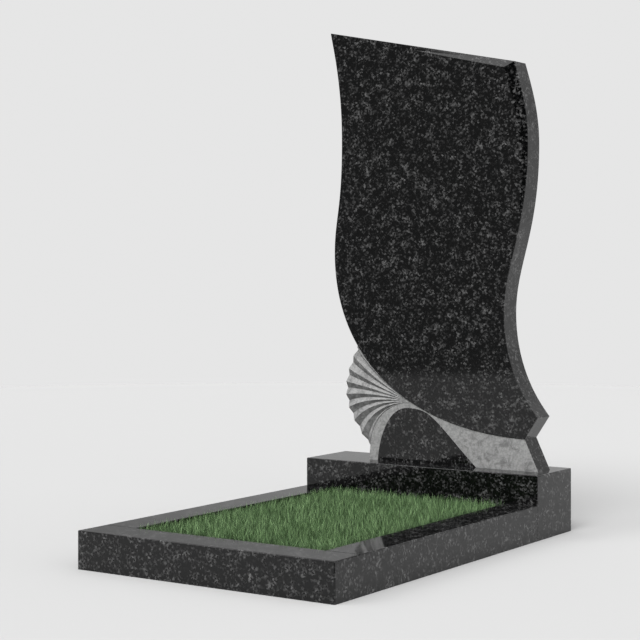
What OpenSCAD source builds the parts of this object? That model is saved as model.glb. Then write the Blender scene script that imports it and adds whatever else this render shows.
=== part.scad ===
// Headstone on a plinth, with a planting kerb in front of it.
//
// The upright slab is one carved stone: a polished face with flowing sides, and under the face
// a scallop-shell fan, a matt band and fin, and a polished arch-shaped boss. The slab rests on a
// plinth, and three kerb bars and the plinth close in a bed of turf.
// X runs across the stone, Y runs from front to back and Z is up. The origin is at the centre of
// the whole footprint, on the ground.

/* [Plinth] */
// Width of the plinth and of the kerb, from side to side
plinth_w = 600; // [450:10:900]
// Depth of the plinth, from front to back
plinth_d = 168; // [130:1:300]
// Height of the plinth above the ground
plinth_h = 140; // [100:5:250]

/* [Kerb] */
// Length of the kerb in front of the plinth
kerb_l = 790; // [500:10:1800]
// Height of the kerb above the ground
kerb_h = 76; // [50:1:95]
// Thickness of the two side bars
kerb_side_t = 76; // [50:1:120]
// Thickness of the front bar
kerb_front_t = 84; // [50:1:120]
// Eased arris on the top edges of the kerb and the plinth
arris = 2; // [1:0.5:5]

/* [Turf] */
// Height of the soil above the ground
turf_h = 48; // [20:1:60]
// Gap between the soil and the stone around it
turf_gap = 0.3; // [0.1:0.1:5]

/* [Slab] */
// Height of the slab's upper left corner above the plinth
slab_h = 1000; // [700:10:1300]
// Width of the slab, from its upper left corner to the end of its foot
slab_w = 542; // [400:1:650]
// Thickness of the slab
slab_t = 60; // [40:1:90]
// Distance from the front of the plinth to the front of the slab
slab_setback = 54; // [10:1:70]
// Distance from the right end of the plinth to the slab's foot
foot_inset = 26; // [5:1:50]

/* [Carving] */
// Depth of the matt ground around the boss, below the polished face
ground_depth = 1.5; // [1:0.5:8]
// Number of whole ribs in the shell. A half rib more rises to the band.
rib_count = 7; // [5:1:12]
// Depth of the grooves between the ribs, at the rim of the shell
rib_depth = 8; // [4:1:20]
// How far the shell's rim is notched between two ribs
rim_notch = 1.5; // [0.5:0.5:10]
// How far the shell's rim swells out beyond its chord
rim_swell = 50; // [20:1:60]
// Share of the fan, next to the face, that the plain strip and its groove take
plain_strip = 0.04; // [0.02:0.005:0.1]
// Width of the top bevel where it meets the side bevel
top_bevel_w = 17; // [8:1:25]
// Width of the side bevel where it meets the top bevel
side_bevel_w = 28; // [12:1:40]
// Depth of both bevels at the corner where they meet
bevel_depth = 6.5; // [3:0.5:12]

/* [Hidden] */

total_d = kerb_l + plinth_d;
front_y = -total_d / 2;
plinth_y = front_y + kerb_l;
bed_w = plinth_w - 2 * kerb_side_t;
bed_l = kerb_l - kerb_front_t;

// The outline is drawn at 542 by 1000 and stretched to the slab's width and height. Its x = 0 is
// a line 268 right of the upper left corner, and its z = 0 is the slab's underside.
drawn_w = 542;
drawn_h = 1000;
drawn_foot_x = 274;
function at(x, z) = [x * slab_w / drawn_w, z * slab_h / drawn_h];

// Cubic curves: a point at t, points along one, and the part of one between two values of t.
function bez(c, t) = blossom(c, t, t, t);
function mix(a, b, t) = a + (b - a) * t;
function blossom(c, u, v, w) =
    let (p = [for (i = [0:2]) mix(c[i], c[i + 1], u)])
    let (q = [for (i = [0:1]) mix(p[i], p[i + 1], v)])
    mix(q[0], q[1], w);
function along(c, a, b, n) = [for (i = [0:n - 1]) bez(c, mix(a, b, i / n))];
function part_of(c, a, b) =
    [blossom(c, a, a, a), blossom(c, a, a, b), blossom(c, a, b, b), blossom(c, b, b, b)];

// The sides of the slab and the lower edge of its polished face.
left_upper = [at(-268, 1000), at(-266, 980), at(-239, 894), at(-237, 760)];
left_lower = [at(-237, 760), at(-235, 585), at(-257, 566), at(-257, 480)];
face_foot = [at(-257, 480), at(-257, 234), at(-58, 76), at(241, 70)];
right_upper = [at(214, 902), at(232, 842), at(248, 790), at(248, 720)];
right_middle = [at(248, 720), at(248, 522), at(191, 455), at(191, 346)];
right_lower = [at(191, 346), at(191, 206), at(264, 131), at(273, 118)];
foot_end = at(drawn_foot_x, 0);

// Where the shell starts on the face's lower edge, and the pivot that its ribs spring from.
shell_start = 0.335;
pivot_place = 0.625;
pivot = bez(face_foot, pivot_place);
// The band's outer edge, from the slab's underside up to the pivot, and where the shell ends.
band_edge = [at(-160, 0), at(-160, 87), at(-121, 130), pivot];
shell_end = 0.11;
// The arch-shaped boss, from its left foot over its crown to its right foot.
boss_left = [at(-137, 0), at(-137, 25), at(-120, 124.5), at(-56, 124.5)];
boss_right = [at(-56, 124.5), at(7, 124.5), at(11, 102), at(120.5, 0)];

// Each rib line of the shell is a cubic between the face's edge (s = 0) and the band (s = 1).
fan_top = part_of(face_foot, pivot_place, shell_start);
fan_bottom = part_of(band_edge, 1, shell_end);
function swell(s) = [-rim_swell * sin(180 * s), 0];
function rib_line(s) = [
    mix(fan_top[0], fan_bottom[0], s),
    mix(fan_top[1], fan_bottom[1], s),
    mix(fan_top[2], fan_bottom[2], s) + swell(s) / 2,
    mix(fan_top[3], fan_bottom[3], s) + swell(s)
];
// Height across the fan: a plain strip at the top, then sharp ribs with a groove before each.
function rib_place(s) = (s - plain_strip) / (1 - plain_strip) * (rib_count + 0.5);
function ridge(place) = 1 - abs(2 * (place - floor(place)) - 1);
function rib_height(s) =
    s < plain_strip ? min(1, 2 * (plain_strip - s) / plain_strip) : ridge(rib_place(s));
// The rim is drawn in by rim_notch at each groove, along ribs that are about rib_length long.
rib_length = 170;
function notch_t(s) = 1 - (1 - rib_height(s)) * rim_notch / rib_length;
function rim_point(s) = bez(rib_line(s), notch_t(s));

curve_steps = 20;
half_steps = 2;
rib_steps = half_steps * (2 * rib_count + 1);
rib_values = concat(
    [0, plain_strip / 2],
    [for (k = [0:rib_steps]) mix(plain_strip, 1, k / rib_steps)]
);

outline = concat(
    along(left_upper, 0, 1, curve_steps),
    along(left_lower, 0, 1, curve_steps),
    along(face_foot, 0, shell_start, curve_steps / 2),
    [for (s = rib_values) rim_point(s)],
    [band_edge[0], foot_end],
    [face_foot[3]],
    [for (i = [0:curve_steps - 1]) bez(right_lower, 1 - i / curve_steps)],
    [for (i = [0:curve_steps - 1]) bez(right_middle, 1 - i / curve_steps)],
    [for (i = [0:curve_steps]) bez(right_upper, 1 - i / curve_steps)]
);

// The matt ground lies below the face, from the shell to the foot, and the boss stands out of it.
spill = 30;
ground = concat(
    along(face_foot, shell_start, 1, 2 * curve_steps),
    [face_foot[3], face_foot[3] + [spill, 0], foot_end + [spill, 0], foot_end - [0, spill]],
    [band_edge[0] - [4 * spill, spill], fan_top[3] - [3 * spill, 0]]
);
boss = concat(
    [boss_left[0] - [0, 2 * spill]],
    along(boss_left, 0, 1, curve_steps),
    along(boss_right, 0, 1, curve_steps),
    [boss_right[3], boss_right[3] - [0, 2 * spill]]
);

// Draws a flat shape upright, with its front at y = 0 and its back at y = depth.
module upright(depth, front = 0) {
    translate([0, front + depth, 0]) rotate([90, 0, 0]) linear_extrude(depth) children();
}

// Closed solid between two grids of points, such as a carved surface and a plain one before it.
module between_grids(low, high) {
    rows = len(low);
    cols = len(low[0]);
    all = concat([for (r = low) each r], [for (r = high) each r]);
    half = rows * cols;
    last_i = rows - 1;
    last_j = cols - 1;
    is = [0:rows - 2];
    js = [0:cols - 2];
    function a(i, j) = i * cols + j;
    function b(i, j) = half + a(i, j);
    polyhedron(all, concat(
        [for (i = is, j = js) [a(i, j), a(i + 1, j), a(i + 1, j + 1)]],
        [for (i = is, j = js) [a(i, j), a(i + 1, j + 1), a(i, j + 1)]],
        [for (i = is, j = js) [b(i, j), b(i + 1, j + 1), b(i + 1, j)]],
        [for (i = is, j = js) [b(i, j), b(i, j + 1), b(i + 1, j + 1)]],
        [for (i = is) [a(i, 0), b(i, 0), b(i + 1, 0), a(i + 1, 0)]],
        [for (i = is) [a(i, last_j), a(i + 1, last_j), b(i + 1, last_j), b(i, last_j)]],
        [for (j = js) [a(0, j), a(0, j + 1), b(0, j + 1), b(0, j)]],
        [for (j = js) [a(last_i, j), b(last_i, j), b(last_i, j + 1), a(last_i, j + 1)]]
    ));
}

// What the carver takes out of the shell. The ribs' tops lie rib_top below the matt ground, and
// the grooves deepen from the pivot to the rim.
reach_values = [0.05, 0.15, 0.3, 0.45, 0.6, 0.75, 0.9, 1.1];
rib_top = 0.5;
function groove(s, t) = ground_depth + rib_top + rib_depth * min(t, 1) * (1 - rib_height(s));
module shell_cut() {
    function spot(s, t, depth) = let (p = bez(rib_line(s), t)) [p[0], depth, p[1]];
    low = [for (s = rib_values) [for (t = reach_values) spot(s, t, groove(s, t))]];
    high = [for (s = rib_values) [for (t = reach_values) spot(s, t, -spill)]];
    between_grids(high, low);
}

// A bevel that starts at nothing and widens as the square root of its length, along edge points.
// out is the way from the face across the edge, and each strip runs on past the edge and its end.
bevel_steps = 5;
top_corner = left_upper[0];
right_corner = right_upper[0];
top_run = right_corner - top_corner;
top_out = [-top_run[1], top_run[0]] / norm(top_run);
// Share of the top edge that stays plain, and share of the right side's middle that is bevelled.
top_plain = 0.25;
side_share = 0.33;
top_start = mix(top_corner, right_corner, top_plain);
top_steps = 2 * bevel_steps;
top_edge = [for (i = [0:top_steps]) mix(top_start, right_corner, i / top_steps)];
side_edge = concat(
    [for (i = [0:bevel_steps - 1]) bez(right_middle, side_share * (1 - i / bevel_steps))],
    [for (i = [0:bevel_steps]) bez(right_upper, 1 - i / bevel_steps)]
);
module bevel_cut(edge, out, width) {
    n = len(edge) - 1;
    slope = bevel_depth / width;
    run_on = (edge[n] - edge[n - 1]) / norm(edge[n] - edge[n - 1]) * spill;
    points = concat(edge, [edge[n] + run_on]);
    function inner_w(i) = width * sqrt(min(i, n) / n);
    function row(i, past, depth) = let (p = points[i] + out * past) [p[0], depth, p[1]];
    low = [for (i = [0:n + 1]) [
        row(i, -inner_w(i) - spill, -spill * slope),
        row(i, spill, (inner_w(i) + spill) * slope)
    ]];
    high = [for (i = [0:n + 1]) [
        row(i, -inner_w(i) - spill, -2 * spill),
        row(i, spill, -2 * spill)
    ]];
    between_grids(high, low);
}

module headstone() {
    color([0.12, 0.12, 0.13])
    translate([plinth_w / 2 - foot_inset - foot_end[0], plinth_y + slab_setback, plinth_h])
    difference() {
        upright(slab_t) polygon(outline);
        upright(ground_depth + spill, -spill) difference() {
            polygon(ground);
            polygon(boss);
        }
        shell_cut();
        bevel_cut(top_edge, top_out, top_bevel_w);
        bevel_cut(side_edge, [1, 0], side_bevel_w);
    }
}

// A bar or block with its upper edges eased: along X, along Y, or along both.
module eased_block(size, ease_x, ease_y) {
    a = arris;
    function profile(w, h) = [[0, 0], [w, 0], [w, h - a], [w - a, h], [a, h], [0, h - a]];
    intersection() {
        cube(size);
        if (ease_y) upright(size[1]) polygon(profile(size[0], size[2]));
        if (ease_x) rotate([90, 0, 90]) linear_extrude(size[0]) polygon(profile(size[1], size[2]));
    }
}

module plinth() {
    color([0.2, 0.2, 0.21])
    translate([-plinth_w / 2, plinth_y, 0])
    eased_block([plinth_w, plinth_d, plinth_h], true, true);
}

module kerb_front() {
    color([0.25, 0.25, 0.26])
    translate([-plinth_w / 2, front_y, 0])
    eased_block([plinth_w, kerb_front_t, kerb_h], true, true);
}

module kerb_bar() {
    eased_block([kerb_side_t, bed_l, kerb_h], false, true);
}

module kerb_left() {
    color([0.25, 0.25, 0.26])
    translate([-plinth_w / 2, front_y + kerb_front_t, 0])
    kerb_bar();
}

module kerb_right() {
    color([0.25, 0.25, 0.26])
    translate([plinth_w / 2 - kerb_side_t, front_y + kerb_front_t, 0])
    kerb_bar();
}

module turf() {
    color([0.3, 0.45, 0.25])
    translate([-bed_w / 2 + turf_gap, front_y + kerb_front_t + turf_gap, 0])
    cube([bed_w - 2 * turf_gap, bed_l - 2 * turf_gap, turf_h]);
}

headstone();
plinth();
kerb_front();
kerb_left();
kerb_right();
turf();
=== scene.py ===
"""Looks of a carved granite headstone on its plinth, with a kerbed bed of grass in front of it.

The stones are meshes built round the CAD blocks: flat polished faces with eased arrises, tapered
bevels, and a fluted shell, band and fin that are carved back and left matt. The bed is a soil mesh
with blades of grass grown on it by Geometry Nodes. Everything is in metres, in the row's frame.
"""

import math

import bmesh
import bpy
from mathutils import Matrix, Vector, noise
from mathutils.geometry import delaunay_2d_cdt


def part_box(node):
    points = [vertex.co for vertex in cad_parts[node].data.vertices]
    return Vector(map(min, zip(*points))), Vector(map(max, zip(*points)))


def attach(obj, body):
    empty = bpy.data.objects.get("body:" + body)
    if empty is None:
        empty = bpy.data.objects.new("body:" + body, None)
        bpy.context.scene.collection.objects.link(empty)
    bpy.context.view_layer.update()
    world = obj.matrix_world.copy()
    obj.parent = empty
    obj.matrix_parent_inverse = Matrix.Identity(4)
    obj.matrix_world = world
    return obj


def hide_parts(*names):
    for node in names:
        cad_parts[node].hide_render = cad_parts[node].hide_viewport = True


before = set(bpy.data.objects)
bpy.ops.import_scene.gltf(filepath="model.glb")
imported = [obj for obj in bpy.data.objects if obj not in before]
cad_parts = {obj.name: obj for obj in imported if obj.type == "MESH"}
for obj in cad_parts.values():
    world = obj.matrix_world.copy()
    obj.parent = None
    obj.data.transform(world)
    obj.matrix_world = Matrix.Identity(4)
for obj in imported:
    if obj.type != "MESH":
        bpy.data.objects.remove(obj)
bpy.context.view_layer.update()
MM = 0.001

# ---------------------------------------------------------------- sizes

SLAB_LOW, SLAB_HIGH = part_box("headstone")
PLINTH_LOW, PLINTH_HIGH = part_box("plinth")
KERB_LOW, KERB_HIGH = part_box("kerb_front")
TURF_LOW, TURF_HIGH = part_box("turf")

# The slab's outline is drawn 542 wide and 1000 tall, with its upper left corner at x = -268.
DRAWN_LEFT = -268
DRAWN_WIDTH = 542
DRAWN_HEIGHT = 1000

ARRIS = 0.8 * MM            # eased edge of the polished slab
BLOCK_ARRIS = 2.0 * MM      # eased edge of the plinth and the kerb
GROUND_DEPTH = 1.5 * MM     # how far the matt ground lies behind the polished face
RIB_COUNT = 7.5             # the last half rib rises to the band
RIB_TOP = 0.5 * MM          # how far the ribs' tops lie behind the matt ground
RIB_DEPTH = 8.0 * MM        # depth of the grooves between the ribs, at the rim
RIM_NOTCH = 1.5             # how far the rim is drawn in at a groove, in drawn units
RIM_SWELL = 50.0            # how far the rim swells beyond its chord, in drawn units
RIB_LENGTH = 170.0          # a rib's length, in drawn units
RIM_ROLL = 1.5 * MM         # how far the ribs roll over at the rim
ROLL_START = 0.9            # where along a rib the roll starts
PLAIN_STRIP = 0.04          # share of the fan that the plain strip and its groove take
LINE_PLACE = 0.978          # a thin line is cut into the last half rib, beside the band
LINE_WIDTH = 0.016
LINE_DEPTH = 3.0 * MM
LINE_FADE = 1.0 / 3.0       # share of its length over which the line reaches its depth
TOP_BEVEL_WIDTH = 17.0 * MM
SIDE_BEVEL_WIDTH = 28.0 * MM
BEVEL_DEPTH = 6.5 * MM
TOP_PLAIN = 0.25            # share of the top edge with no bevel
TOP_MIDDLE = 0.12           # one more point on that plain stretch
SIDE_SHARE = 1.0 / 3.0      # share of the right side's middle stretch that has a bevel

CURVE_STEPS = 48            # points along each long curve
HALF_RIB_STEPS = 6          # points across half a rib
STRIP_STEPS = 4             # points across the plain strip
REACH_STEPS = 36            # points along a rib
BEVEL_STEPS = 40            # points along each bevel's inner line
MITRE_ROUNDS = 30           # rounds that close in on the corner where the two bevels meet

# ---------------------------------------------------------------- curves


def at(x, z):
    """A drawn point as (x, z) in the row's frame."""
    width = SLAB_HIGH.x - SLAB_LOW.x
    height = SLAB_HIGH.z - SLAB_LOW.z
    return Vector((
        SLAB_LOW.x + (x - DRAWN_LEFT) * width / DRAWN_WIDTH,
        SLAB_LOW.z + z * height / DRAWN_HEIGHT,
    ))


def blossom(curve, u, v, w):
    """The cubic's polar form: its point at t is blossom(curve, t, t, t)."""
    first = [curve[i].lerp(curve[i + 1], u) for i in range(3)]
    second = [first[i].lerp(first[i + 1], v) for i in range(2)]
    return second[0].lerp(second[1], w)


def bez(curve, t):
    return blossom(curve, t, t, t)


def along(curve, start, end, steps):
    """Points along a cubic from start to end, both ends included."""
    return [bez(curve, start + (end - start) * i / steps) for i in range(steps + 1)]


def part_of(curve, a, b):
    """The cubic that covers one from a to b."""
    return [
        blossom(curve, a, a, a),
        blossom(curve, a, a, b),
        blossom(curve, a, b, b),
        blossom(curve, b, b, b),
    ]


LEFT_UPPER = [at(-268, 1000), at(-266, 980), at(-239, 894), at(-237, 760)]
LEFT_LOWER = [at(-237, 760), at(-235, 585), at(-257, 566), at(-257, 480)]
FACE_FOOT = [at(-257, 480), at(-257, 234), at(-58, 76), at(241, 70)]
RIGHT_UPPER = [at(214, 902), at(232, 842), at(248, 790), at(248, 720)]
RIGHT_MIDDLE = [at(248, 720), at(248, 522), at(191, 455), at(191, 346)]
RIGHT_LOWER = [at(191, 346), at(191, 206), at(264, 131), at(273, 118)]
FOOT_END = at(274, 0)
SHELL_START = 0.335
PIVOT_PLACE = 0.625
SHELL_END = 0.11
PIVOT = bez(FACE_FOOT, PIVOT_PLACE)
BAND_EDGE = [at(-160, 0), at(-160, 87), at(-121, 130), PIVOT]
BOSS_LEFT = [at(-137, 0), at(-137, 25), at(-120, 124.5), at(-56, 124.5)]
BOSS_RIGHT = [at(-56, 124.5), at(7, 124.5), at(11, 102), at(120.5, 0)]
FAN_TOP = part_of(FACE_FOOT, PIVOT_PLACE, SHELL_START)
FAN_BOTTOM = part_of(BAND_EDGE, 1.0, SHELL_END)


def rib_height(s):
    """Height of the shell's surface across the fan, 0 in a groove and 1 on a rib's ridge."""
    if s < PLAIN_STRIP:
        return min(1.0, 2.0 * (PLAIN_STRIP - s) / PLAIN_STRIP)
    place = (s - PLAIN_STRIP) / (1.0 - PLAIN_STRIP) * RIB_COUNT
    return 1.0 - abs(2.0 * (place % 1.0) - 1.0)


def rib_line(s):
    """The cubic that runs from the pivot to the rim, from the face's edge (0) to the band (1)."""
    swell = (at(-RIM_SWELL, 0) - at(0, 0)) * math.sin(math.pi * s)
    line = [FAN_TOP[i].lerp(FAN_BOTTOM[i], s) for i in range(4)]
    line[2] = line[2] + swell * 0.5
    line[3] = line[3] + swell
    return line


def rim_reach(s):
    """How far along its rib line the rim lies: a little short at each groove."""
    return 1.0 - (1.0 - rib_height(s)) * RIM_NOTCH / RIB_LENGTH


def shell_depth(s, t):
    """Depth of the shell behind the polished face, at reach t along the rib line at s."""
    groove = RIB_DEPTH * t * (1.0 - rib_height(s))
    fade_in = min(1.0, t / LINE_FADE)
    thin_line = LINE_DEPTH * fade_in * max(0.0, 1.0 - abs(s - LINE_PLACE) / LINE_WIDTH)
    roll = RIM_ROLL * max(0.0, (t - ROLL_START) / (1.0 - ROLL_START)) ** 2
    return GROUND_DEPTH + RIB_TOP + groove + thin_line + roll


# ---------------------------------------------------------------- bevels

TOP_CORNER = LEFT_UPPER[0]
RIGHT_CORNER = RIGHT_UPPER[0]
TOP_RUN = (RIGHT_CORNER - TOP_CORNER).normalized()
TOP_IN = Vector((TOP_RUN.y, -TOP_RUN.x))
TOP_LENGTH = (RIGHT_CORNER - TOP_CORNER).length
RIGHT_SIDE = along(RIGHT_UPPER, 0, 1, CURVE_STEPS) + along(RIGHT_MIDDLE, 0, 1, CURVE_STEPS)[1:]
SIDE_BEVEL_END = bez(RIGHT_MIDDLE, SIDE_SHARE).y


def right_side_x(z):
    """The x of the slab's right side at height z, where it is bevelled."""
    for above, below in zip(RIGHT_SIDE, RIGHT_SIDE[1:]):
        if below.y <= z <= above.y:
            share = (above.y - z) / (above.y - below.y)
            return above.x + (below.x - above.x) * share
    lean = (RIGHT_SIDE[1].x - RIGHT_CORNER.x) / (RIGHT_CORNER.y - RIGHT_SIDE[1].y)
    return RIGHT_CORNER.x + (RIGHT_CORNER.y - z) * lean


def top_bevel_width(run):
    """Width of the top bevel at a distance from the upper left corner."""
    share = (run / TOP_LENGTH - TOP_PLAIN) / (1.0 - TOP_PLAIN)
    return TOP_BEVEL_WIDTH * math.sqrt(max(0.0, share))


def side_bevel_width(z):
    """Width of the side bevel at height z."""
    share = (z - SIDE_BEVEL_END) / (RIGHT_CORNER.y - SIDE_BEVEL_END)
    return SIDE_BEVEL_WIDTH * math.sqrt(max(0.0, share))


def top_bevel_depth(point):
    way = point - TOP_CORNER
    width = top_bevel_width(way.dot(TOP_RUN))
    if width <= 0:
        return 0.0
    return (width - way.dot(TOP_IN)) * BEVEL_DEPTH / TOP_BEVEL_WIDTH


def side_bevel_depth(point):
    width = side_bevel_width(point.y)
    if width <= 0:
        return 0.0
    return (width - (right_side_x(point.y) - point.x)) * BEVEL_DEPTH / SIDE_BEVEL_WIDTH


def bevel_depth(point):
    """How far the bevels cut the face back at a point, or 0 on the flat."""
    return max(0.0, top_bevel_depth(point), side_bevel_depth(point))


def bevel_lines():
    """The inner lines of both bevels and the mitre where they meet, as lists of points."""
    top = []
    for i in range(BEVEL_STEPS + 1):
        run = TOP_LENGTH * (TOP_PLAIN + (1.0 - TOP_PLAIN) * (i / BEVEL_STEPS) ** 2)
        top.append(TOP_CORNER + TOP_RUN * run + TOP_IN * top_bevel_width(run))
    side = []
    for i in range(BEVEL_STEPS + 1):
        z = SIDE_BEVEL_END + (RIGHT_CORNER.y - SIDE_BEVEL_END) * (i / BEVEL_STEPS) ** 2
        side.append(Vector((right_side_x(z) - side_bevel_width(z), z)))
    top = [p for p in top if side_bevel_depth(p) <= 0]
    side = [p for p in side if top_bevel_depth(p) <= 0]
    inner_corner = (top[-1] + side[-1]) / 2
    for _ in range(MITRE_ROUNDS):
        lift = top_bevel_depth(inner_corner) * TOP_BEVEL_WIDTH / BEVEL_DEPTH
        inner_corner = inner_corner + TOP_IN * lift
        shift = side_bevel_depth(inner_corner) * SIDE_BEVEL_WIDTH / BEVEL_DEPTH
        inner_corner = inner_corner - Vector((shift, 0))
    return [top + [inner_corner], side + [inner_corner], [inner_corner, RIGHT_CORNER]]


# ---------------------------------------------------------------- mesh tools

JOIN = 2e-6                 # corners nearer than this are one corner
FILL_JOIN = 1e-7            # the same, while a patch is being filled
NO_LENGTH = 1e-6            # a direction shorter than this has none
SHARPEST = 0.4              # an inset corner runs in by at most the distance divided by this


def inset(loop, distance):
    """A closed outline moved inwards by distance, corner by corner."""
    count = len(loop)
    area = sum(one.cross(other) for one, other in zip(loop, loop[1:] + loop[:1]))
    turn = 1.0 if area > 0 else -1.0
    moved = []
    for i in range(count):
        before = (loop[i] - loop[i - 1]).normalized()
        after = (loop[(i + 1) % count] - loop[i]).normalized()
        normal_before = Vector((-before.y, before.x)) * turn
        normal_after = Vector((-after.y, after.x)) * turn
        middle = normal_before + normal_after
        if middle.length < NO_LENGTH:
            middle = normal_before
        middle.normalize()
        stretch = 1.0 / max(SHARPEST, middle.dot(normal_before))
        moved.append(loop[i] + middle * distance * stretch)
    return moved


def fill(loop, inner_lines=(), inner_loop=None):
    """Triangles inside a closed outline, with edges along the given lines."""
    points = list(loop)
    count = len(loop)
    edges = [(i, (i + 1) % count) for i in range(count)]
    if inner_loop:
        start = len(points)
        points += inner_loop
        edges += [(start + i, start + (i + 1) % len(inner_loop)) for i in range(len(inner_loop))]
    for line in inner_lines:
        start = len(points)
        points += line
        edges += [(start + i, start + i + 1) for i in range(len(line) - 1)]
    made = delaunay_2d_cdt(points, edges, [list(range(count))], 1, FILL_JOIN)
    corners, triangles, origins = made[0], made[2], made[3]
    on_outline = [any(k < count for k in origin) for origin in origins]
    return corners, triangles, on_outline


def add_patch(mesh, patch, depth_of, material, front):
    """Puts a filled patch into the mesh. depth_of(point, on_outline) is its depth behind front."""
    corners, triangles, on_outline = patch
    verts = []
    for point, edge in zip(corners, on_outline):
        verts.append(mesh.verts.new((point.x, front + depth_of(point, edge), point.y)))
    for triangle in triangles:
        face = mesh.faces.new([verts[k] for k in triangle])
        face.material_index = material


def add_strip(mesh, one, other, material, closed=False):
    """Quads between two rows of points of the same length."""
    row_one = [mesh.verts.new(p) for p in one]
    row_other = [mesh.verts.new(p) for p in other]
    last = len(one) if closed else len(one) - 1
    for i in range(last):
        j = (i + 1) % len(one)
        face = mesh.faces.new((row_one[i], row_one[j], row_other[j], row_other[i]))
        face.material_index = material


def stitch(mesh):
    """Cuts each open edge at the corners that lie on it, so that a long edge closes on short ones."""
    open_edges = [edge for edge in mesh.edges if edge.is_boundary]
    corners = {vert for edge in open_edges for vert in edge.verts}
    for edge in open_edges:
        start = edge.verts[0]
        run = edge.verts[1].co - start.co
        shares = []
        for vert in corners:
            share = (vert.co - start.co).dot(run) / run.length_squared
            off = (start.co + run * share - vert.co).length
            if off < JOIN and JOIN < share * run.length < run.length - JOIN:
                shares.append(share)
        passed = 0.0
        for share in sorted(shares):
            start = bmesh.utils.edge_split(edge, start, (share - passed) / (1.0 - passed))[1]
            passed = share


def finish_mesh(mesh, name, materials, sharp_degrees, flat_area=None):
    """Joins what touches, turns the faces outwards and makes the object. Large faces stay flat."""
    bmesh.ops.remove_doubles(mesh, verts=mesh.verts, dist=JOIN)
    stitch(mesh)
    bmesh.ops.remove_doubles(mesh, verts=mesh.verts, dist=JOIN)
    bmesh.ops.recalc_face_normals(mesh, faces=mesh.faces)
    data = bpy.data.meshes.new(name)
    mesh.to_mesh(data)
    mesh.free()
    for material in materials:
        data.materials.append(material)
    data.shade_smooth()
    data.set_sharp_from_angle(angle=math.radians(sharp_degrees))
    if flat_area is not None:
        for polygon in data.polygons:
            polygon.use_smooth = polygon.area < flat_area
    piece = bpy.data.objects.new(name, data)
    bpy.context.scene.collection.objects.link(piece)
    return piece


# ---------------------------------------------------------------- the slab

POLISHED, CARVED, SAWN = 0, 1, 2
SLAB_SHARP = 9              # edges sharper than this, in degrees, stay sharp on the slab
BAND_STEPS = 4              # points along the short stretch of band under the shell


def raised(points, depths, front):
    """Flat points lifted to their depths behind the front plane."""
    return [Vector((p.x, front + d, p.y)) for p, d in zip(points, depths)]


def level(points, depth, front):
    """Flat points lifted to one depth behind the front plane."""
    return raised(points, [depth] * len(points), front)


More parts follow.
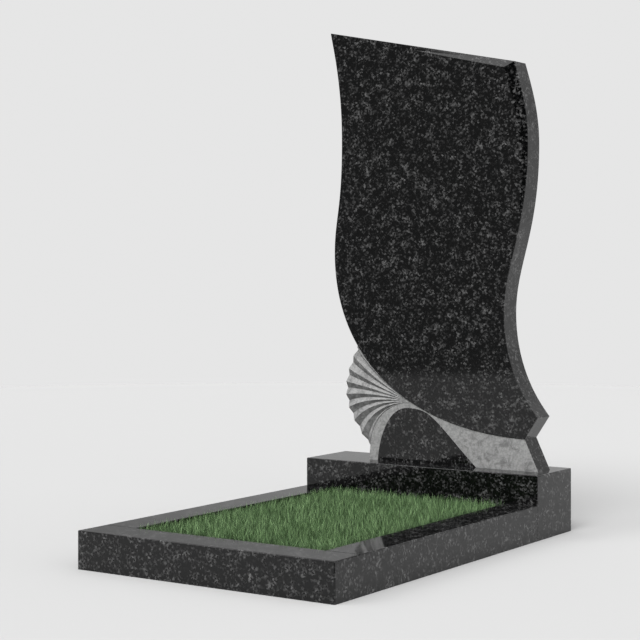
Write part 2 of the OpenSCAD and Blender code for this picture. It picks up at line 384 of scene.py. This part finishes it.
def carved_slab(materials):
    """The upright stone: polished face and boss, and the matt shell, band and fin between them."""
    front = SLAB_LOW.y
    back = SLAB_HIGH.y
    mesh = bmesh.new()

    # The shell's grid of points, from the face's edge to the band and from the pivot to the rim.
    steps = round(2 * RIB_COUNT * HALF_RIB_STEPS)
    across = [PLAIN_STRIP * k / STRIP_STEPS for k in range(STRIP_STEPS)]
    across += [PLAIN_STRIP + (1.0 - PLAIN_STRIP) * k / steps for k in range(steps + 1)]
    reach = [j / REACH_STEPS for j in range(REACH_STEPS + 1)]
    flat = [[bez(rib_line(s), t * rim_reach(s)) for t in reach] for s in across]
    deep = [[shell_depth(s, t) for t in reach] for s in across]
    rows = [raised(p, d, front) for p, d in zip(flat, deep)]
    for one, other in zip(rows, rows[1:]):
        add_strip(mesh, one, other, CARVED)

    # The polished face.
    face_low = along(FACE_FOOT, PIVOT_PLACE, 1, CURVE_STEPS)
    face_shell = list(reversed(flat[0]))
    top_points = [TOP_CORNER + TOP_RUN * TOP_LENGTH * share for share in (TOP_PLAIN, TOP_MIDDLE)]
    left_down = along(LEFT_UPPER, 0, 1, CURVE_STEPS) + along(LEFT_LOWER, 0, 1, CURVE_STEPS)[1:]
    left_down += along(FACE_FOOT, 0, SHELL_START, CURVE_STEPS // 2)[1:-1]
    right_up = list(reversed(along(RIGHT_LOWER, 0, 1, CURVE_STEPS)))
    right_up += list(reversed(RIGHT_SIDE))[1:]
    face_loop = left_down + face_shell + face_low[1:] + right_up + top_points
    face_patch = fill(face_loop, bevel_lines(), inset(face_loop, ARRIS))
    add_patch(mesh, face_patch, lambda p, edge: bevel_depth(p) + (ARRIS if edge else 0.0), POLISHED, front)

    # The boss.
    boss_line = along(BOSS_LEFT, 0, 1, CURVE_STEPS // 2) + along(BOSS_RIGHT, 0, 1, CURVE_STEPS)[1:]
    boss_inner = inset(boss_line, ARRIS)
    boss_inner[0] = boss_line[0] + Vector((ARRIS, 0))
    boss_inner[-1] = boss_line[-1] - Vector((ARRIS, 0))
    add_strip(mesh, level(boss_line, ARRIS, front), level(boss_inner, 0, front), POLISHED)
    add_patch(mesh, fill(boss_inner), lambda p, edge: 0.0, POLISHED, front)

    # The matt ground: the band round the boss and the fin at the foot.
    band_low = along(BAND_EDGE, 0, SHELL_END, BAND_STEPS)
    band_shell = list(reversed(flat[-1]))
    ground_loop = face_low + [FOOT_END] + list(reversed(boss_line)) + band_low + band_shell[1:-1]
    add_patch(mesh, fill(ground_loop), lambda p, edge: GROUND_DEPTH, CARVED, front)

    # The small walls where the carving drops back.
    add_strip(mesh, level(face_low, ARRIS, front), level(face_low, GROUND_DEPTH, front), POLISHED)
    add_strip(mesh, level(flat[0], ARRIS, front), rows[0], POLISHED)
    add_strip(mesh, level(boss_line, ARRIS, front), level(boss_line, GROUND_DEPTH, front), POLISHED)
    add_strip(mesh, level(flat[-1], GROUND_DEPTH, front), rows[-1], CARVED)

    # The sides, from the front's edge to the back, and the back.
    rim_flat = [row[-1] for row in flat]
    rim = [row[-1] for row in rows]
    face_edge = [face_low[-1]] + right_up + top_points + left_down + [flat[0][-1]]
    boss_foot = [boss_line[0], boss_inner[0], boss_inner[-1], boss_line[-1]]
    sides = [
        (raised(face_edge, [bevel_depth(p) + ARRIS for p in face_edge], front), POLISHED),
        (rim, CARVED),
        (level(list(reversed(band_low)), GROUND_DEPTH, front), CARVED),
        (level([band_low[0], boss_line[0]], GROUND_DEPTH, front), SAWN),
        (raised(boss_foot, [ARRIS, 0.0, 0.0, ARRIS], front), SAWN),
        (level([boss_line[-1], FOOT_END], GROUND_DEPTH, front), SAWN),
        (level([FOOT_END, face_low[-1]], GROUND_DEPTH, front), POLISHED),
    ]
    for row, material in sides:
        shoulder = [Vector((p.x, back - ARRIS, p.z)) for p in row]
        add_strip(mesh, row, shoulder, material)
    outline = face_edge + rim_flat[1:] + list(reversed(band_low))[1:] + boss_foot + [FOOT_END]
    back_inner = inset(outline, ARRIS)
    add_strip(mesh, level(outline, back - ARRIS, 0), level(back_inner, back, 0), SAWN, closed=True)
    add_patch(mesh, fill(back_inner), lambda p, edge: 0.0, SAWN, back)
    return finish_mesh(mesh, "carved_headstone", materials, SLAB_SHARP)


# ---------------------------------------------------------------- the blocks

BLOCK_SHARP = 50            # edges sharper than this, in degrees, stay sharp on a block
LARGE_FACE = 0.003          # faces over this many square metres are shaded flat
FACES_DOWN = -0.9           # a face whose normal points below this is an underside
ARRIS_FACES = 3             # faces round an eased arris
ROUND = 0.5                 # the bevel's profile for a round arris


def eased_block(name, low, high, materials, joint_ends=(False, False), ease_joint_tops=False):
    """A sawn and polished block. Its arrises are eased, but not where an end closes on a joint."""
    mesh = bmesh.new()
    bmesh.ops.create_cube(mesh, size=1.0)
    for vert in mesh.verts:
        vert.co = [(low[k] + high[k]) / 2 + vert.co[k] * (high[k] - low[k]) for k in range(3)]
    ends = [low[1] if joint_ends[0] else None, high[1] if joint_ends[1] else None]

    def eased(edge):
        middle = (edge.verts[0].co + edge.verts[1].co) / 2
        on_joint = any(end is not None and abs(middle.y - end) < JOIN for end in ends)
        upright = abs(edge.verts[0].co.z - edge.verts[1].co.z) > JOIN
        kept_sharp = on_joint and (upright or not ease_joint_tops)
        return middle.z > low[2] + JOIN and not kept_sharp

    arrises = [edge for edge in mesh.edges if eased(edge)]
    bmesh.ops.bevel(
        mesh, geom=arrises, offset=BLOCK_ARRIS, segments=ARRIS_FACES, profile=ROUND, affect="EDGES")
    mesh.faces.ensure_lookup_table()
    for face in mesh.faces:
        face.material_index = 1 if face.normal.z < FACES_DOWN else 0
    return finish_mesh(mesh, name, materials, BLOCK_SHARP, flat_area=LARGE_FACE)


# ---------------------------------------------------------------- material tools


class Nodes:
    """A short way to write a node tree: each call adds a node, sets its inputs and links it."""

    def __init__(self, tree):
        self.tree = tree

    def add(self, kind, inputs=None, **settings):
        node = self.tree.nodes.new(kind)
        for name, value in settings.items():
            setattr(node, name, value)
        for name, value in (inputs or {}).items():
            socket = node.inputs[name]
            if isinstance(value, bpy.types.NodeSocket):
                self.tree.links.new(value, socket)
            else:
                socket.default_value = value
        return node

    def math(self, operation, a, b):
        return self.add("ShaderNodeMath", {0: a, 1: b}, operation=operation).outputs[0]

    def vector(self, operation, inputs):
        return self.add("ShaderNodeVectorMath", inputs, operation=operation).outputs[0]

    def spread(self, value, low, high, to_low=0.0, to_high=1.0):
        """A value between low and high, spread smoothly over the new range."""
        inputs = {"Value": value, "From Min": low, "From Max": high, "To Min": to_low, "To Max": to_high}
        return self.add("ShaderNodeMapRange", inputs, interpolation_type="SMOOTHSTEP").outputs[0]

    def noise(self, place, scale, detail, roughness=0.5, distortion=0.0):
        inputs = {
            "Vector": place, "Scale": scale, "Detail": detail,
            "Roughness": roughness, "Distortion": distortion,
        }
        return self.add("ShaderNodeTexNoise", inputs).outputs["Fac"]

    def blend(self, share, one, other):
        node = self.add("ShaderNodeMix", data_type="RGBA")
        for socket, value in zip((node.inputs[0], node.inputs[6], node.inputs[7]), (share, one, other)):
            if isinstance(value, bpy.types.NodeSocket):
                self.tree.links.new(value, socket)
            else:
                socket.default_value = value
        return node.outputs[2]


def new_material(name):
    """An empty material, its nodes, and the place on the object that its patterns read."""
    material = bpy.data.materials.new(name)
    material.use_nodes = True
    material.node_tree.nodes.clear()
    nodes = Nodes(material.node_tree)
    place = nodes.add("ShaderNodeTexCoord").outputs["Object"]
    return material, nodes, place


def close_material(nodes, color, roughness, normal, **constants):
    """Ends a material in one shader. The constants go straight on the shader's own sockets."""
    shader = nodes.add("ShaderNodeBsdfPrincipled", {"Base Color": color, "Roughness": roughness})
    if normal is not None:
        nodes.tree.links.new(normal, shader.inputs["Normal"])
    for name, value in constants.items():
        shader.inputs[name.replace("_", " ")].default_value = value
    nodes.add("ShaderNodeOutputMaterial", {"Surface": shader.outputs[0]})


def grey(value):
    return (value, value, value, 1)


# The stone's patterns: how many of each mark fit in a metre, and how they add up to a fleck.
FLECK_CLOUDS = 46.0
FINE_FLECKS = 160.0
CRYSTALS = 250.0
CRYSTAL_JITTER = 1.2        # how ragged a crystal's border is, as a share of its size
CLOUD_SHARE = 0.8
FINE_SHARE = 0.5
CRYSTAL_SHARE = 0.5
FLECK_START = 0.78
FLECK_FULL = 1.42
FLECK_FALL = 2.0            # how quickly a fleck fades to black

BLACK_STONE = (0.0022, 0.0023, 0.0024, 1)
POLISHED_FLECK = grey(0.138)
POLISH_IOR = 1.42
BROKEN_DARK = (0.25, 0.25, 0.248, 1)
BROKEN_LIGHT = (0.355, 0.355, 0.352, 1)
CARVED_CLOUD = grey(0.12)
# painted shade: the grey laid on the sides of the carved ribs that face down
DOWN_FACE_SHADE_GREY = grey(0.11)
SAWN_DARK = (0.045, 0.046, 0.048, 1)
SAWN_FLECK = (0.19, 0.19, 0.192, 1)
STONE_IOR = 1.5
SAW_MARKS = (6.0, 40.0, 420.0)
SOIL_DARK = (0.012, 0.009, 0.006, 1)
SOIL_LIGHT = (0.05, 0.038, 0.024, 1)
# painted shade: the near black that the blades take at the root, where they shade each other
GRASS_ROOT_SHADE = (0.008, 0.022, 0.006, 1)
GRASS_DEEP = (0.03, 0.09, 0.02, 1)
GRASS_BRIGHT = (0.56, 0.86, 0.41, 1)
GRASS_PATCH = (0.13, 0.24, 0.085, 1)
TONE_CONTRAST = 1.6         # over 1, so that most blades are deep green and a few are bright


def crystals(nodes, place, per_metre, jitter):
    """A random number for each crystal of about 1 / per_metre across, with ragged borders."""
    ragged = nodes.add(
        "ShaderNodeTexNoise", {"Vector": place, "Scale": per_metre * 1.6, "Detail": 3.0}).outputs["Color"]
    shifted = nodes.vector("SUBTRACT", {0: ragged, 1: (0.5, 0.5, 0.5)})
    scaled = nodes.vector("SCALE", {0: shifted, "Scale": jitter / per_metre})
    moved = nodes.vector("ADD", {0: place, 1: scaled})
    cells = nodes.add("ShaderNodeTexVoronoi", {"Vector": moved, "Scale": per_metre})
    return nodes.add("ShaderNodeSeparateColor", {"Color": cells.outputs["Color"]}).outputs[0]


def granite_flecks(nodes, place):
    """How light the stone is at a point: 0 in the black ground mass, up to 1 in a light fleck."""
    cloud = nodes.noise(place, FLECK_CLOUDS, 3.0, 0.6)
    fine = nodes.noise(place, FINE_FLECKS, 2.0, 0.6, 0.3)
    grains = crystals(nodes, place, CRYSTALS, CRYSTAL_JITTER)
    mixed = nodes.math("MULTIPLY", cloud, CLOUD_SHARE)
    mixed = nodes.math("ADD", mixed, nodes.math("MULTIPLY", fine, FINE_SHARE))
    mixed = nodes.math("ADD", mixed, nodes.math("MULTIPLY", grains, CRYSTAL_SHARE))
    return nodes.math("POWER", nodes.spread(mixed, FLECK_START, FLECK_FULL), FLECK_FALL)


def polished_granite():
    """Black granite with grey flecks, polished until it mirrors what is round it."""
    material, nodes, place = new_material("polished_black_granite")
    flecks = granite_flecks(nodes, place)
    color = nodes.blend(flecks, BLACK_STONE, POLISHED_FLECK)
    haze = nodes.noise(place, 6.0, 3.0)
    roughness = nodes.spread(haze, 0.3, 0.7, 0.035, 0.06)
    close_material(nodes, color, roughness, None, IOR=POLISH_IOR)
    return material


def carved_granite():
    """The same stone, carved back and left matt, where its broken crystals look light grey, with painted
    shade on the sides of the ribs that face down.
    """
    material, nodes, place = new_material("matt_carved_granite")
    cloud = nodes.noise(place, 38.0, 6.0, 0.8, 0.6)
    speck = nodes.noise(place, 190.0, 3.0, 0.7)
    color = nodes.blend(nodes.spread(speck, 0.35, 0.65), BROKEN_DARK, BROKEN_LIGHT)
    color = nodes.blend(nodes.spread(cloud, 0.47, 0.64, 0.0, 0.75), color, CARVED_CLOUD)
    facing = nodes.add("ShaderNodeTexCoord").outputs["Normal"]
    height = nodes.add("ShaderNodeSeparateXYZ", {0: facing}).outputs[2]
    # painted shade: the sides of the ribs that face down are darkened, mottled by noise
    down_faces_shade = nodes.spread(height, -0.1, -0.03, 1.0, 0.0)    # the sides of ribs that face down
    shade_mottle = nodes.spread(nodes.noise(place, 70.0, 5.0, 0.7, 0.4), 0.38, 0.62, 0.2, 0.85)
    color = nodes.blend(nodes.math("MULTIPLY", down_faces_shade, shade_mottle), color, DOWN_FACE_SHADE_GREY)
    grain = nodes.noise(place, 700.0, 3.0, 0.7)
    bump = nodes.add("ShaderNodeBump", {"Strength": 0.35, "Distance": 0.0006, "Height": grain})
    close_material(nodes, color, nodes.spread(grain, 0.3, 0.7, 0.62, 0.85), bump.outputs[0], IOR=STONE_IOR)
    return material


def sawn_granite():
    """Backs and undersides: sawn and only roughly honed, so dark grey and dull."""
    material, nodes, place = new_material("sawn_granite")
    flecks = granite_flecks(nodes, place)
    color = nodes.blend(flecks, SAWN_DARK, SAWN_FLECK)
    stretched = nodes.add("ShaderNodeMapping", {"Vector": place, "Scale": SAW_MARKS}).outputs[0]
    marks = nodes.noise(stretched, 1.0, 2.0)
    bump = nodes.add("ShaderNodeBump", {"Strength": 0.2, "Distance": 0.0005, "Height": marks})
    close_material(nodes, color, nodes.spread(marks, 0.3, 0.7, 0.4, 0.55), bump.outputs[0], IOR=STONE_IOR)
    return material


def soil_material():
    """Dark crumbly soil."""
    material, nodes, place = new_material("dark_soil")
    crumbs = nodes.noise(place, 130.0, 6.0, 0.7)
    color = nodes.blend(nodes.spread(crumbs, 0.35, 0.7), SOIL_DARK, SOIL_LIGHT)
    bump = nodes.add("ShaderNodeBump", {"Strength": 0.8, "Distance": 0.003, "Height": crumbs})
    close_material(nodes, color, 0.95, bump.outputs[0])
    return material


def grass_material():
    """Blades with painted shade that darkens them towards the root, lighter at the tip, each with its own
    tone.
    """
    material, nodes, place = new_material("grass")
    tone = nodes.add("ShaderNodeAttribute", attribute_name="blade_tone").outputs["Fac"]
    height = nodes.add("ShaderNodeSeparateXYZ", {0: place}).outputs[2]
    # painted shade: blades fade to the root colour below 42 mm above the bed's top
    up = nodes.spread(height, TURF_HIGH.z + 8.0 * MM, TURF_HIGH.z + 42.0 * MM)
    patch = nodes.noise(place, 14.0, 3.0)
    green = nodes.blend(nodes.math("POWER", tone, TONE_CONTRAST), GRASS_DEEP, GRASS_BRIGHT)
    green = nodes.blend(nodes.spread(patch, 0.35, 0.7, 0.0, 0.35), green, GRASS_PATCH)
    color = nodes.blend(up, GRASS_ROOT_SHADE, green)
    close_material(nodes, color, 0.55, None, Specular_IOR_Level=0.2)
    return material


# ---------------------------------------------------------------- the bed

SOIL_STEP = 8.0 * MM
SOIL_SHARP = 60             # edges sharper than this, in degrees, stay sharp on the soil
BLADE_HEIGHT = 46.0 * MM
BLADE_WIDTH = 1.5 * MM
BLADE_LEANS = (0.15, 0.4, 0.65, 0.9)
BLADE_TILT = 0.3            # the most that a whole blade is tilted, in radians
BLADE_DROOP = 0.45          # how much lower a leaning blade's tip comes
SHORTEST_BLADE = 0.55       # the shortest blade as a share of the tallest
HALF_WIDE = 0.58            # radius at which a three-sided spike is 1 wide
BLADE_FLATNESS = 0.35       # thickness as a share of the width
BLADES_PER_M2 = 170000
GRASS_PATCHES = 4
GRASS_SEED = 5              # the first patch, and each later one is one more
TONE_SEED = 11
TURN_SEED = 23
SIZE_SEED = 37
GRASS_MARGIN = 4.0 * MM     # bare soil along the stones
ROOT_DEPTH = 4.0 * MM       # how far below the bed's top the blades start
BEND_MARGIN = 4.0 * MM      # blades this close to a stone start to bend along it


def soil_height(x, y):
    """How far the soil stands below the top of its block."""
    rough = noise.noise(Vector((x * 24, y * 24, 0.5)))
    fine = noise.noise(Vector((x * 90, y * 90, 3.5)))
    return (-2.8 + 1.6 * rough + fine) * MM


def soil_bed(material):
    """A closed block of soil with a crumbly top."""
    low, high = TURF_LOW, TURF_HIGH
    columns = round((high.x - low.x) / SOIL_STEP)
    rows = round((high.y - low.y) / SOIL_STEP)
    mesh = bmesh.new()
    xs = [low.x + (high.x - low.x) * i / columns for i in range(columns + 1)]
    ys = [low.y + (high.y - low.y) * j / rows for j in range(rows + 1)]
    top = [[Vector((x, y, high.z + soil_height(x, y))) for x in xs] for y in ys]
    for one, other in zip(top, top[1:]):
        add_strip(mesh, one, other, 0)
    right_edge = [row[-1] for row in top[1:]]
    left_edge = [row[0] for row in reversed(top)]
    rim = top[0] + right_edge + list(reversed(top[-1]))[1:] + left_edge[1:-1]
    foot = [Vector((p.x, p.y, low.z)) for p in rim]
    add_strip(mesh, rim, foot, 0, closed=True)
    mesh.faces.new([mesh.verts.new(p) for p in foot])
    return finish_mesh(mesh, "soil_bed", [material], SOIL_SHARP)


def blade_shape(nodes, height, width, lean):
    """One blade as node geometry: a closed, flat, three-sided spike that leans over."""
    spike = nodes.add("GeometryNodeMeshCone", {
        "Vertices": 3, "Side Segments": 2, "Radius Top": 0.0, "Radius Bottom": HALF_WIDE, "Depth": 1.0})
    place = nodes.add("GeometryNodeInputPosition").outputs[0]
    across, through, up = nodes.add("ShaderNodeSeparateXYZ", {0: place}).outputs
    belly = nodes.math("MULTIPLY", nodes.math("ADD", up, 1.0), width)
    bow = nodes.math("MULTIPLY", nodes.math("MULTIPLY", up, up), lean)
    side = nodes.math("MULTIPLY", through, belly)
    thick = nodes.math("MULTIPLY", nodes.math("MULTIPLY", across, belly), -BLADE_FLATNESS)
    away = nodes.math("ADD", nodes.math("MULTIPLY", bow, height), thick)
    drop = nodes.math("MULTIPLY", nodes.math("MULTIPLY", bow, lean), BLADE_DROOP)
    rise = nodes.math("MULTIPLY", nodes.math("SUBTRACT", up, drop), height)
    spot = nodes.add("ShaderNodeCombineXYZ", {0: side, 1: away, 2: rise}).outputs[0]
    return nodes.add("GeometryNodeSetPosition", {"Geometry": spike.outputs[0], "Position": spot}).outputs[0]


def kept_between(nodes, value, low, high):
    """Squeezes a coordinate so that it never reaches low or high, and bends only close to them."""
    over = nodes.math("MAXIMUM", nodes.math("SUBTRACT", value, high - BEND_MARGIN), 0.0)
    squeezed = nodes.math("DIVIDE", over, nodes.math("ADD", over, BEND_MARGIN))
    value = nodes.math("SUBTRACT", value, over)
    value = nodes.math("ADD", value, nodes.math("MULTIPLY", squeezed, BEND_MARGIN))
    under = nodes.math("MAXIMUM", nodes.math("SUBTRACT", low + BEND_MARGIN, value), 0.0)
    squeezed = nodes.math("DIVIDE", under, nodes.math("ADD", under, BEND_MARGIN))
    value = nodes.math("ADD", value, under)
    return nodes.math("SUBTRACT", value, nodes.math("MULTIPLY", squeezed, BEND_MARGIN))


def grass_tree():
    """Geometry nodes that grow blades of grass on a surface. Blades bend up against the stones."""
    tree = bpy.data.node_groups.new("grow_grass", "GeometryNodeTree")
    sizes = (
        ("Blades Per Square Metre", "NodeSocketFloat"),
        ("Blade Height", "NodeSocketFloat"),
        ("Blade Width", "NodeSocketFloat"),
        ("Seed", "NodeSocketInt"),
        ("Grass", "NodeSocketMaterial"),
    )
    tree.interface.new_socket("Geometry", in_out="INPUT", socket_type="NodeSocketGeometry")
    for name, kind in sizes:
        tree.interface.new_socket(name, in_out="INPUT", socket_type=kind)
    tree.interface.new_socket("Geometry", in_out="OUTPUT", socket_type="NodeSocketGeometry")
    nodes = Nodes(tree)
    given = nodes.add("NodeGroupInput").outputs
    scatter = nodes.add("GeometryNodeDistributePointsOnFaces", {
        "Mesh": given["Geometry"], "Density": given["Blades Per Square Metre"], "Seed": given["Seed"]})
    tone = nodes.add("FunctionNodeRandomValue", {"Seed": TONE_SEED}, data_type="FLOAT")
    named = nodes.add("GeometryNodeStoreNamedAttribute", {
        "Geometry": scatter.outputs["Points"], "Name": "blade_tone", "Value": tone.outputs[1]},
        data_type="FLOAT", domain="POINT")
    joined = nodes.add("GeometryNodeGeometryToInstance")
    for lean in BLADE_LEANS:
        blade = blade_shape(nodes, given["Blade Height"], given["Blade Width"], lean)
        tree.links.new(blade, joined.inputs[0])
    turn = nodes.add("FunctionNodeRandomValue", {"Seed": TURN_SEED}, data_type="FLOAT_VECTOR")
    turn.inputs[0].default_value = (-BLADE_TILT, -BLADE_TILT, 0.0)
    turn.inputs[1].default_value = (BLADE_TILT, BLADE_TILT, 2 * math.pi)
    size = nodes.add("FunctionNodeRandomValue", {"Seed": SIZE_SEED}, data_type="FLOAT")
    size.inputs[2].default_value = SHORTEST_BLADE
    size.inputs[3].default_value = 1.0
    planted = nodes.add("GeometryNodeInstanceOnPoints", {
        "Points": named.outputs[0], "Instance": joined.outputs[0], "Pick Instance": True,
        "Rotation": turn.outputs[0], "Scale": size.outputs[1]})
    real = nodes.add("GeometryNodeRealizeInstances", {"Geometry": planted.outputs[0]})
    place = nodes.add("GeometryNodeInputPosition").outputs[0]
    x, y, z = nodes.add("ShaderNodeSeparateXYZ", {0: place}).outputs
    x = kept_between(nodes, x, TURF_LOW.x, TURF_HIGH.x)
    y = kept_between(nodes, y, TURF_LOW.y, TURF_HIGH.y)
    spot = nodes.add("ShaderNodeCombineXYZ", {0: x, 1: y, 2: z}).outputs[0]
    bent = nodes.add("GeometryNodeSetPosition", {"Geometry": real.outputs[0], "Position": spot}).outputs[0]
    painted = nodes.add("GeometryNodeSetMaterial", {"Geometry": bent, "Material": given["Grass"]})
    nodes.add("NodeGroupOutput", {"Geometry": painted.outputs[0]})
    return tree


def plain_copy(name, host, material):
    """The host's evaluated mesh as an ordinary object of one material. The host goes."""
    depsgraph = bpy.context.evaluated_depsgraph_get()
    data = bpy.data.meshes.new_from_object(host.evaluated_get(depsgraph))
    data.name = name
    data.materials.clear()
    data.materials.append(material)
    data.polygons.foreach_set("material_index", [0] * len(data.polygons))
    piece = bpy.data.objects.new(name, data)
    bpy.context.scene.collection.objects.link(piece)
    bpy.data.objects.remove(host)
    return piece


def grass_patch(name, tree, material, low_y, high_y, seed):
    """Grass on the stretch of the bed from low_y to high_y."""
    left = TURF_LOW.x + GRASS_MARGIN
    right = TURF_HIGH.x - GRASS_MARGIN
    ground = TURF_HIGH.z - ROOT_DEPTH
    data = bpy.data.meshes.new(name + "_ground")
    data.from_pydata(
        [(left, low_y, ground), (right, low_y, ground), (right, high_y, ground), (left, high_y, ground)],
        [], [(0, 1, 2, 3)])
    host = bpy.data.objects.new(name + "_ground", data)
    bpy.context.scene.collection.objects.link(host)
    grower = host.modifiers.new("grow_grass", "NODES")
    grower.node_group = tree
    values = {"Blades Per Square Metre": float(BLADES_PER_M2), "Blade Height": BLADE_HEIGHT,
              "Blade Width": BLADE_WIDTH, "Seed": seed, "Grass": material}
    for item in tree.interface.items_tree:
        if item.in_out == "INPUT" and item.name in values:
            grower[item.identifier] = values[item.name]
    return plain_copy(name, host, material)


# ---------------------------------------------------------------- stage, light and camera

FLOOR_RADIUS = 4.8
FLOOR_CORNERS = 96

# How bright the room is in each direction, and which way each of its lights lies.
FRONT_GLOW = 0.23
FRONT_SHADE = 0.005
FRONT_WAY = (-1.0, 0.0, 0.0)
BACK_GLOW = 0.74
BACK_WAY = (0.6, 0.8, 0.0)
OVERHEAD_GLOW = 0.45
PANEL_GLOW = 2.8
PANEL_WAY = (-0.5, -0.53, 0.68)
SIDE_GLOW = 0.85
SIDE_WAY = (0.96, -0.12, 0.25)
PALE_WALL = 0.79
LAMP_STRENGTH = 2.45
LAMP_WIDTH = 34             # in degrees
LAMP_WAY = (0.12, -0.62, 0.775)

CAMERA_PLACE = (1.8645, -2.8533, 0.5934)
CAMERA_TURN = 33.905        # to the left of straight ahead, in degrees
LENS = 91.8                 # in millimetres
SENSOR_WIDTH = 36.0
LENS_SHIFT = -0.0866
FARTHEST = 200.0            # in metres


def pale_floor():
    """A plain pale floor: a wide disc under the stone."""
    material, nodes, _ = new_material("pale_floor")
    close_material(nodes, grey(0.54), 0.9, None, Specular_IOR_Level=0.0)
    ring = []
    for k in range(FLOOR_CORNERS):
        turn = 2 * math.pi * k / FLOOR_CORNERS
        ring.append((FLOOR_RADIUS * math.cos(turn), FLOOR_RADIUS * math.sin(turn), 0))
    data = bpy.data.meshes.new("floor")
    data.from_pydata(ring, [], [tuple(range(FLOOR_CORNERS))])
    data.materials.append(material)
    floor = bpy.data.objects.new("floor", data)
    bpy.context.scene.collection.objects.link(floor)


def soft_room():
    """A soft studio room, bright behind the stone and overhead and dim in front of it."""
    world = bpy.data.worlds.new("soft_room")
    bpy.context.scene.world = world
    world.use_nodes = True
    world.node_tree.nodes.clear()
    nodes = Nodes(world.node_tree)
    way = nodes.add("ShaderNodeTexCoord").outputs["Generated"]

    def toward(direction):
        facing = nodes.add("ShaderNodeVectorMath", {0: way, 1: direction}, operation="DOT_PRODUCT")
        return facing.outputs["Value"]

    height = nodes.add("ShaderNodeSeparateXYZ", {0: way}).outputs[2]
    front_glow = nodes.spread(toward(FRONT_WAY), 0.12, 0.42, FRONT_SHADE, FRONT_GLOW)
    wall = nodes.spread(toward(BACK_WAY), -0.6, 1.0, 0.0, BACK_GLOW)
    wall = nodes.math("MULTIPLY", wall, nodes.spread(height, 0.11, 0.17, 1.0, 0.75))
    low_light = nodes.math("MAXIMUM", front_glow, wall)
    overhead = nodes.spread(height, 0.3, 0.6, 0.0, OVERHEAD_GLOW)
    panel = nodes.spread(toward(PANEL_WAY), 0.9, 0.97, 0.0, PANEL_GLOW)
    side = nodes.spread(toward(SIDE_WAY), 0.75, 0.95, 0.0, SIDE_GLOW)
    light = nodes.math("ADD", low_light, nodes.math("MAXIMUM", overhead, panel))
    light = nodes.math("ADD", light, side)
    room = nodes.add("ShaderNodeBackground", {"Strength": light, "Color": (1, 1, 1, 1)})
    seen = nodes.add("ShaderNodeBackground", {"Strength": PALE_WALL, "Color": (1, 1, 1, 1)})
    by_eye = nodes.add("ShaderNodeLightPath").outputs["Is Camera Ray"]
    mixed = nodes.add("ShaderNodeMixShader", {0: by_eye, 1: room.outputs[0], 2: seen.outputs[0]})
    nodes.add("ShaderNodeOutputWorld", {"Surface": mixed.outputs[0]})


def soft_lamp():
    """One large soft lamp, high up in front of the stone."""
    light = bpy.data.lights.new("soft_lamp", "SUN")
    light.energy = LAMP_STRENGTH
    light.angle = math.radians(LAMP_WIDTH)
    lamp = bpy.data.objects.new("soft_lamp", light)
    lamp.rotation_euler = Vector(LAMP_WAY).to_track_quat("Z", "Y").to_euler()
    bpy.context.scene.collection.objects.link(lamp)


def camera():
    """Standing in front and to the right, looking level, with the lens shifted down."""
    data = bpy.data.cameras.new("camera")
    data.sensor_width = SENSOR_WIDTH
    data.lens = LENS
    data.shift_y = LENS_SHIFT
    data.clip_end = FARTHEST
    eye = bpy.data.objects.new("camera", data)
    eye.location = CAMERA_PLACE
    eye.rotation_euler = (math.radians(90), 0, math.radians(CAMERA_TURN))
    bpy.context.scene.collection.objects.link(eye)
    bpy.context.scene.camera = eye


# ---------------------------------------------------------------- putting it together


def place_piece(piece, slot, *nodes):
    """Sets a piece on the one body, in the place of its CAD nodes. Its slot is not used."""
    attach(piece, "root")
    if nodes:
        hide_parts(*nodes)


polished = polished_granite()
carved = carved_granite()
sawn = sawn_granite()

place_piece(carved_slab([polished, carved, sawn]), "polished_granite", "headstone")
block = eased_block("polished_plinth", PLINTH_LOW, PLINTH_HIGH, [polished, sawn])
place_piece(block, "polished_granite", "plinth")
bar = eased_block("front_kerb", KERB_LOW, KERB_HIGH, [polished, sawn], (False, True), ease_joint_tops=True)
place_piece(bar, "polished_granite", "kerb_front")
for side in ("left", "right"):
    bar_low, bar_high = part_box("kerb_" + side)
    bar = eased_block(side + "_kerb", bar_low, bar_high, [polished, sawn], joint_ends=(True, True))
    place_piece(bar, "polished_granite", "kerb_" + side)

place_piece(soil_bed(soil_material()), "turf", "turf")
grass = grass_material()
grass_nodes = grass_tree()
bed_low = TURF_LOW.y + GRASS_MARGIN
bed_high = TURF_HIGH.y - GRASS_MARGIN
for patch in range(GRASS_PATCHES):
    patch_low = bed_low + (bed_high - bed_low) * patch / GRASS_PATCHES
    patch_high = bed_low + (bed_high - bed_low) * (patch + 1) / GRASS_PATCHES
    name = "grass_%d" % (patch + 1)
    place_piece(grass_patch(name, grass_nodes, grass, patch_low, patch_high, GRASS_SEED + patch), "turf")

pale_floor()
soft_room()
soft_lamp()
camera()
bpy.context.scene.view_settings.view_transform = "Standard"
